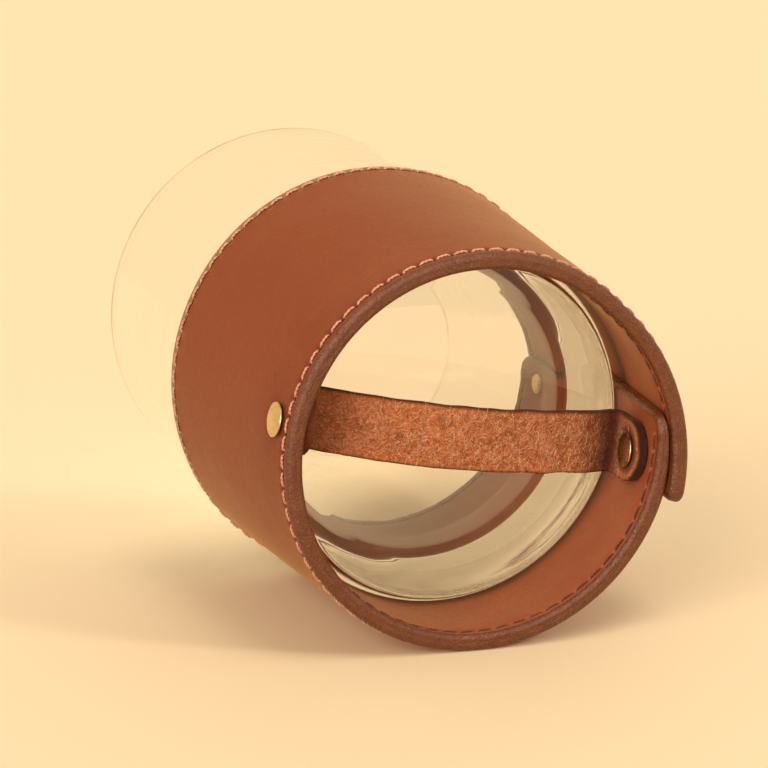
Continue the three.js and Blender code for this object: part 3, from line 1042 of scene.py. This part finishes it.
def strap_leg(side, rivet_height, bend_height):
    """The middle line from the leg's round tip up its bend, as reach, height and hug"""
    z = np.linspace(rivet_height - strap_width / 2, bend_height - bend_reach, leg_steps)
    leg = np.stack([side * strap_face(z), z, 1 + 0 * z], -1)
    edge = side * strap_face(bend_height)
    inner = edge - side * bend_reach
    a = np.array([side * strap_face(bend_height - bend_reach), bend_height - bend_reach])
    b = np.array([edge, bend_height])
    c = np.array([inner, bow_height(inner)])
    t = np.linspace(0, 1, bend_steps)[1:, None]
    turned = bend(a, b, c, t)
    return np.concatenate([leg, np.concatenate([turned, 1 - t], 1)])


def strap_line():
    front = strap_leg(-1, front_rivet_height, front_bend)
    rear = strap_leg(1, rear_rivet_height, rear_bend)
    reach = np.linspace(-front_reach + bend_reach, rear_reach - bend_reach, bow_steps)[1:-1]
    bow = np.stack([reach, bow_height(reach), 0 * reach], -1)
    line = np.concatenate([front, bow, rear[::-1]])
    length = np.concatenate([[0], np.cumsum(np.hypot(*np.diff(line[:, :2], axis=0).T))])
    fine = edge_steps(strap_round, strap_edge_points)
    tip = np.concatenate([fine, spans(strap_round, (strap_width / 2, strap_tip_step))[1:]])
    middle = spans(tip[-1], (length[-1] - tip[-1], strap_step))
    places = np.concatenate([tip[:-1], middle, (length[-1] - tip[:-1])[::-1]])
    return places, np.stack([np.interp(places, length, line[:, k]) for k in range(3)], -1)


def strap_points(reach, z, across):
    share = ((reach + front_reach) / (front_reach + rear_reach))[..., None]
    front = np.array([math.cos(front_angle), math.sin(front_angle)])
    rear = np.array([math.cos(rear_angle), math.sin(rear_angle)])
    middle = front_reach * (1 - share) * front + rear_reach * share * rear
    way = (1 - share) * [-front[1], front[0]] + share * [rear[1], -rear[0]]
    flat = middle + unit(way) * across[..., None]
    return np.stack([axis.x + flat[..., 0], axis.y + flat[..., 1], z + 0 * across], -1)


def make_strap():
    places, line = strap_line()
    half = strap_width / 2
    from_tip = np.minimum(places, places[-1] - places)
    inside = np.clip(half - from_tip, 0, half)
    width = np.sqrt(np.clip(half**2 - inside**2, 0, None))
    edge = edge_steps(strap_round, strap_edge_points) / half
    rows = spans(-1 + edge[-1], (1 - edge[-1], strap_row_step / half))
    rows = np.concatenate([-1 + edge[:-1], rows, (1 - edge[:-1])[::-1]])
    across = width[:, None] * rows
    tip_distance = half - np.hypot(inside[:, None], across)
    distance = np.where(inside[:, None] > 0, tip_distance, width[:, None] - np.abs(across))
    distance = np.clip(distance, 0, None)

    step = unit(np.gradient(line[:, :2], axis=0))
    reach, z, hug = (line[:, k][:, None] for k in range(3))
    sag = np.sign(reach) * hug * across**2 / (2 * lining_face(z))
    lumps = ripple(*suede_lumps)
    wobble = ripple(*edge_wobble)
    rivet_away = np.hypot((from_tip - half)[:, None], across)
    press = bell(np.clip(rivet_away - cap_radius, 0, None), strap_press_soft)
    # Painted shadow on the strap, a dark ring just beyond the rim of the rivet's cap
    beyond = np.clip(rivet_away - cap_radius - cap_shadow_start, 0, None)
    dark_round_rivet = bell(beyond, cap_shadow_soft)
    faces_of = []
    for side in (-1, 1):
        lift = side * (strap_thickness / 2 - rounding(distance, strap_round))
        if side < 0:
            lift = lift + strap_press * press + lump_height * lumps(places[:, None], across)
        sway = wobble(places[:, None], np.sign(across)) * np.abs(rows) ** wobble_power
        at = reach - step[:, 1][:, None] * lift - sag
        height = z + step[:, 0][:, None] * lift
        faces_of.append(strap_points(at, height, across + wobble_depth * sway))
    shown, grain = faces_of
    rings = np.concatenate([shown, grain[:, ::-1]], 1)
    columns, size = rings.shape[:2]
    faces = tube_faces([0], columns, size)
    both = lambda v, back: np.concatenate([v, back[:, ::-1]], 1).ravel()
    behind_tip = np.clip((reach + front_reach - tip_fade) / tip_fade, 0, 1)
    seen_edge = distance + (1 - behind_tip) * strap_width
    from_rear = (places[-1] - places)[:, None]
    # Painted shade: the strap's colour is darkened near the front, at the rear bend and over the
    # front tip
    painted_shade = front_shade * bell(reach + front_shade_place, front_shade_width)
    painted_shade = painted_shade + bend_shade * bell(from_rear - bend_shade_place, bend_shade_width)
    painted_shade = np.clip(painted_shade + 0 * distance + tip_shade * (1 - behind_tip), 0, most_shade)
    points = rings.reshape(-1, 3)
    nap_points, nap_faces, tone, nap_shade = make_nap(
        shown, distance, rivet_away, painted_shade, len(points)
    )
    values = {
        "from_edge": (both(seen_edge, seen_edge), 0 * tone + strap_width),
        "painted_shade": (both(painted_shade, painted_shade), nap_shade),
        "dark_round_rivet": (both(dark_round_rivet, 0 * dark_round_rivet) * cap_shadow, 0 * tone),
        "nap": (np.zeros(len(points)), tone),
    }
    values = {name: np.concatenate(parts) for name, parts in values.items()}
    points = np.concatenate([points, nap_points])
    piece = new_piece("strap", points, faces + nap_faces, values)
    dress(piece, "sleeve", suede(), "base_strap")


def make_nap(shown, distance, rivet_away, painted_shade, first):
    """Loose fibres on the flesh side, each a thin closed tube lying nearly flat"""
    random = np.random.default_rng(nap_seed)
    columns, rows = shown.shape[:2]
    along, over = np.gradient(shown, axis=(0, 1))
    along, over, normal = unit(along), unit(over), unit(np.cross(along, over))
    normal[normal[..., 2] > 0] *= -1
    i = random.integers(2, columns - 2, nap_tries)
    j = random.integers(0, rows, nap_tries)
    clear = distance[i, j] > nap_edge_gap
    clear &= rivet_away[i, j] > cap_radius + nap_rivet_gap
    i, j = i[clear][:nap_count], j[clear][:nap_count]
    count = len(i)
    t = np.linspace(0, 1, nap_rings)[None, :, None]
    way = random.uniform(0, turn, count)[:, None]
    ahead = np.cos(way) * along[i, j] + np.sin(way) * over[i, j]
    beside = np.cross(normal[i, j], ahead)
    room = np.minimum(distance[i, j], rivet_away[i, j] - cap_radius)
    length = random.uniform(nap_least, 1, count) * np.clip(room * nap_room, 0, nap_longest)
    length = length[:, None, None]
    swerve = random.uniform(-nap_bend, nap_bend, count)[:, None, None]
    rise = random.uniform(0, nap_rise, count)[:, None, None]
    scatter = random.uniform(-nap_scatter, nap_scatter, (count, 2))
    root = shown[i, j] + scatter[:, :1] * along[i, j] + scatter[:, 1:] * over[i, j]
    up = normal[i, j][:, None, :]
    line = root[:, None, :] + length * t * ahead[:, None, :]
    line = line + length * swerve * t**2 * beside[:, None, :] + up * rise * np.sin(math.pi * t)
    sides = np.arange(nap_sides)[None, None, :, None] * turn / nap_sides
    ring = np.cos(sides) * up[:, :, None, :] + np.sin(sides) * beside[:, None, None, :]
    thin = nap_radius * (1 - nap_taper * t)[..., None]
    points = (line[:, :, None, :] + thin * ring).reshape(-1, 3)
    block = nap_rings * nap_sides
    faces = tube_faces(first + np.arange(count) * block, nap_rings, nap_sides)
    sign = np.where(random.random(count) < nap_dark_share, -1, 1)
    tone = sign * random.uniform(*nap_tones, count)
    # Each fibre takes the strap's painted shade where it grows
    return points, faces, np.repeat(tone, block), np.repeat(painted_shade[i, j], block)


# Stage: the cup lies on its side, as in the photograph, and the floor touches its sleeve
lying_angle = 168.8 * degree
floor_size = 6.0
ground_colour = rgb(0.93, 0.68, 0.385)
backdrop_colour = rgb(0.99, 0.73, 0.41)
fill_colour = rgb(1.0, 0.94, 0.85)
bounce_colour = rgb(1.2, 0.87, 0.52)
glass_bounces = 40

# The room by direction (right, up, away): from and to which nearness, and the levels there
fill_way, fill_levels = (0.0, 0.2, 1.0), (-0.1, 0.8, 0.52, 0.62)
dark_way, dark_levels = (0.75, 0.62, -0.22), (0.3, 0.75, 0.0, -0.7)
sky_way, sky_levels = (0.0, 1.0, 0.0), (-0.15, 0.1, 0.0, 1.0)

# Each lamp's direction as right, up and away from the camera, its share of the light, its size
lamps = [
    ("right_softbox", 0.78, 0.55, -0.46, 0.13, 11 * degree),
    ("left_softbox", -0.45, 0.36, -0.9, 0.26, 40 * degree),
    ("top_softbox", 0.2, 1.0, -0.36, 0.18, 22 * degree),
    ("back_softbox", 0.15, 0.45, 0.88, 0.06, 40 * degree),
]

# Lamps that don't show as bright spots through the glass, or in gloss
not_in_glass = ("left_softbox", "top_softbox", "back_softbox")
not_in_gloss = ("back_softbox",)

camera_place = axis + Vector((0.2004, -0.3856, -0.9172))
camera_right = Vector((0.1970, 0.9261, -0.3218)).normalized()
camera_ahead = Vector((-0.1868, 0.3577, 0.9150)).normalized()
camera_lens = 210.9
camera_sensor = 36.0
camera_clip = (0.05, 50)

sleeve_outside = lining_face(0) + lining_thickness + glue_line + outer_thickness
contact = axis + Vector((math.cos(lying_angle), math.sin(lying_angle), 0)) * sleeve_outside
inward = -math.cos(cone_angle)
floor_up = Vector((inward * math.cos(lying_angle), inward * math.sin(lying_angle), 0))
floor_up.z = math.sin(cone_angle)
floor_right = (camera_right - floor_up * camera_right.dot(floor_up)).normalized()
floor_away = floor_up.cross(floor_right)


def in_room(right, up, away):
    """A place in the room of the photograph, from the point where the sleeve touches the floor"""
    return contact + floor_right * right + floor_up * up + floor_away * away


def make_camera():
    data = bpy.data.cameras.new("camera")
    data.lens = camera_lens
    data.sensor_width = camera_sensor
    data.clip_start, data.clip_end = camera_clip
    camera = new_object("camera", data)
    up = camera_right.cross(camera_ahead)
    turned = Matrix((camera_right, up, -camera_ahead)).transposed().to_4x4()
    camera.matrix_world = Matrix.Translation(camera_place) @ turned
    bpy.context.scene.camera = camera


def floor_material():
    """Pale from above, and clear from below and to the cup's soft light and shadow rays"""
    s = shader("floor")
    top = s.principled(Base_Color=ground_colour, Roughness=0.8, Specular_IOR_Level=0.2)
    below = s.node("BsdfTransparent").outputs[0]
    back = s.node("NewGeometry").outputs["Backfacing"]
    ray = s.node("LightPath").outputs
    soft = s.math("MAXIMUM", ray["Is Diffuse Ray"], ray["Is Shadow Ray"])
    through = s.math("MAXIMUM", back, soft)
    return s.finish(s.node("MixShader", {0: through, 1: top, 2: below}).outputs[0])


def make_floor():
    h = floor_size / 2
    corners = [in_room(x, 0, y) for x, y in ((-h, -h), (h, -h), (h, h), (-h, h))]
    mesh = bpy.data.meshes.new("floor")
    mesh.from_pydata(corners, [], [(0, 1, 2, 3)])
    mesh.materials.append(floor_material())
    new_object("floor", mesh)


def make_lamp(name, right, up, away, share, spread):
    """A far softbox, given by its direction from the cup and its share of the floor's light"""
    data = bpy.data.lights.new(name, "SUN")
    data.angle = spread
    toward = Vector((right, up, away)).normalized()
    data.energy = share * math.pi / toward.y
    lamp = new_object(name, data)
    way = in_room(*toward) - contact
    lamp.rotation_mode = "QUATERNION"
    lamp.rotation_quaternion = way.to_track_quat("Z", "Y")
    lamp.visible_transmission = name not in not_in_glass
    lamp.visible_glossy = name not in not_in_gloss


def make_world():
    """A soft fill for the cup, and a plain backdrop where the camera, gloss or glass sees it"""
    world = bpy.data.worlds.new("world")
    bpy.context.scene.world = world
    w = Nodes(world, "OutputWorld")
    path = w.node("LightPath").outputs
    generated = w.node("TexCoord").outputs["Generated"]

    def level(way, levels):
        """A level that changes with the direction's nearness to one way in the room"""
        way = (in_room(*way) - contact).normalized()
        near = w.node("VectorMath", {0: generated, 1: way}, operation="DOT_PRODUCT")
        return w.remap(near.outputs["Value"], *levels, interpolation_type="SMOOTHSTEP")

    tint = w.mix(level(sky_way, sky_levels), bounce_colour, fill_colour)
    fill = w.node("Background", {0: tint, 1: level(fill_way, fill_levels)}).outputs[0]
    through = path["Is Transmission Ray"]
    bright = w.math("ADD", w.times(level(dark_way, dark_levels), through), 1.0)
    seen = w.node("Background", {0: backdrop_colour, 1: bright}).outputs[0]
    looking = w.math("MAXIMUM", path["Is Camera Ray"], path["Is Glossy Ray"])
    looking = w.math("MAXIMUM", looking, through)
    looking = w.times(looking, w.math("LESS_THAN", path["Diffuse Depth"], 0.5))
    w.finish(w.node("MixShader", {0: looking, 1: fill, 2: seen}).outputs[0])


def set_bounces():
    """Light runs up inside the tumbler's wall, from side to side, before it comes out"""
    for kind in ("max", "glossy", "transmission", "transparent_max"):
        setattr(bpy.context.scene.cycles, kind + "_bounces", glass_bounces)


make_camera()
make_glass()
make_rivets(aged_brass())
make_sleeve()
make_strap()
make_floor()
for lamp in lamps:
    make_lamp(*lamp)
make_world()
set_bounces()
bpy.context.scene.view_settings.view_transform = "Standard"
